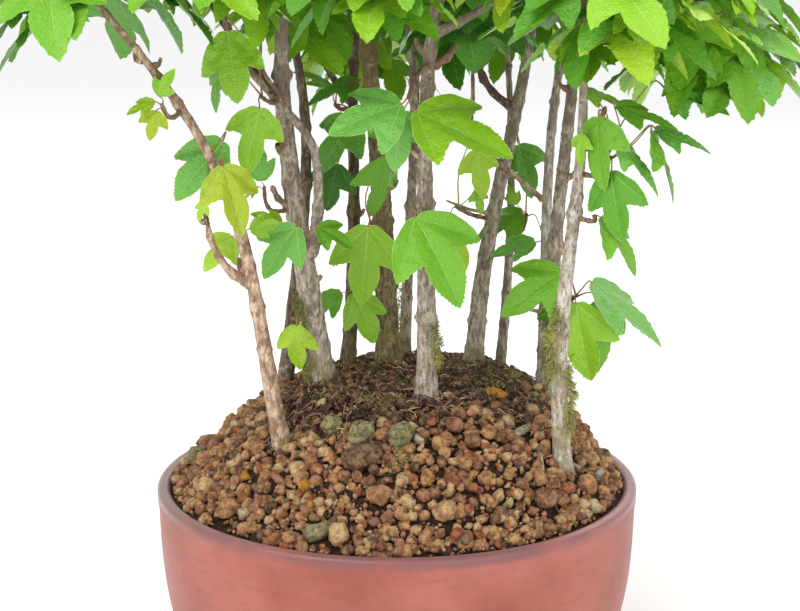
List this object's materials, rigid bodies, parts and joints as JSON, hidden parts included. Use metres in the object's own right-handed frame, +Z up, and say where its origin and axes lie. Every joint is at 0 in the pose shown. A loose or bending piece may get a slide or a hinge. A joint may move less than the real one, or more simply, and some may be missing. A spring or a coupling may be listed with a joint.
{
  "type": "potted trident maple bonsai",
  "caption": "Group planting of slender trident maples with bare lower stems and a broad leafy crown, on a root mound in a round clay pot.",
  "frame": {"origin": "centre of the pot's flat underside", "axes": "+Z up along the pot's axis, front of the planting towards -Y, +X to the viewer's right"},
  "size_m": [0.4011, 0.332, 0.4523],
  "materials": {
    "clay": "unglazed",
    "soil": "granular",
    "bark": "bark",
    "leaf": "satin"
  },
  "bodies": {
    "root": {"bough_left_front_low": "bark", "bough_left_main_second": "bark", "bough_left_main_side": "bark", "bough_middle_back_rear": "bark", "bough_middle_front_right": "bark", "bough_middle_slim_left": "bark", "bough_middle_thick_front": "bark", "bough_right_leaning_left": "bark", "bough_right_main_side": "bark", "crown_front": "leaf", "crown_front_right": "leaf", "crown_inner_left": "leaf", "crown_inner_right": "leaf", "crown_left_back": "leaf", "crown_left_front": "leaf", "crown_left_main": "leaf", "crown_left_second": "leaf", "crown_left_side": "leaf", "crown_middle_back": "leaf", "crown_middle_front": "leaf", "crown_middle_slim": "leaf", "crown_rear": "leaf", "crown_right_back": "leaf", "crown_right_front": "leaf", "crown_right_leaning": "leaf", "crown_right_main": "leaf", "crown_right_side": "leaf", "crown_right_slim": "leaf", "crown_top": "leaf", "pot": "clay", "soil": "soil", "spray_left_back_low": "leaf", "spray_left_front_fork": "leaf", "spray_left_front_low": "leaf", "spray_left_front_small": "leaf", "spray_left_main_knot": "leaf", "spray_left_main_low": "leaf", "spray_left_main_stub": "leaf", "spray_middle_front_high": "leaf", "spray_middle_front_low": "leaf", "spray_middle_slim_low": "leaf", "spray_middle_slim_mid": "leaf", "spray_middle_thick_low": "leaf", "spray_right_front_low": "leaf", "spray_right_front_mid": "leaf", "spray_right_leaning_low": "leaf", "spray_right_main_low": "leaf", "spray_right_slim_low": "leaf", "trunk_left_back": "bark", "trunk_left_front": "bark", "trunk_left_main": "bark", "trunk_middle_back": "bark", "trunk_middle_front": "bark", "trunk_middle_slim": "bark", "trunk_middle_thick": "bark", "trunk_right_back": "bark", "trunk_right_front": "bark", "trunk_right_leaning": "bark", "trunk_right_main": "bark", "trunk_right_slim": "bark"}
  },
  "joints": []
}
